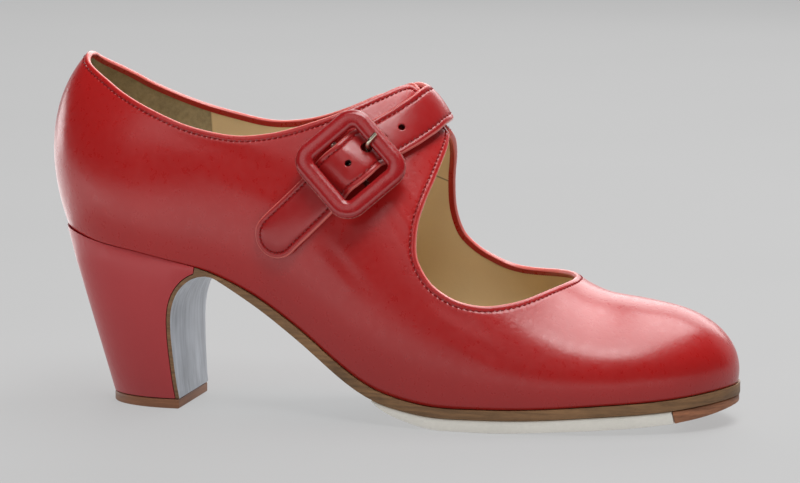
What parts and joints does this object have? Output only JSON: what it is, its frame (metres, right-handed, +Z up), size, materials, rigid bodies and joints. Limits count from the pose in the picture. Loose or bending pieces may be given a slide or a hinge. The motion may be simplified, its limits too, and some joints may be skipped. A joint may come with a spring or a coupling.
{
  "type": "shoe",
  "caption": "Red leather flamenco shoe for the right foot, with a set-back heel, a low throat and a buckled strap over the instep.",
  "frame": {"origin": "middle of the heel tip's walking face, on the floor", "axes": "+X from heel to toe, +Y towards the inner side of the foot, +Z up"},
  "size_m": [0.2388, 0.0792, 0.1208],
  "materials": {
    "red_leather": "smooth red leather, satin",
    "strap_leather": "smooth red leather, satin",
    "buckle_leather": "dark red leather cover, satin",
    "lining_leather": "unpolished tan leather",
    "sole_leather": "brown edge, dull",
    "pale_sole": "dull off-white",
    "brown_sole": "stacked leather, dull",
    "heel_cover": "smooth red leather, satin",
    "pale_metal": "bright nickel"
  },
  "bodies": {
    "root": {"upper": "red_leather", "insole": "lining_leather", "outsole": "sole_leather", "forefoot_pad": "pale_sole", "toe_piece": "brown_sole", "heel": "heel_cover", "heel_tip": "brown_sole", "strap": "strap_leather", "buckle_tab": "buckle_leather", "buckle_frame": "buckle_leather", "buckle_prong": "pale_metal"}
  },
  "joints": []
}
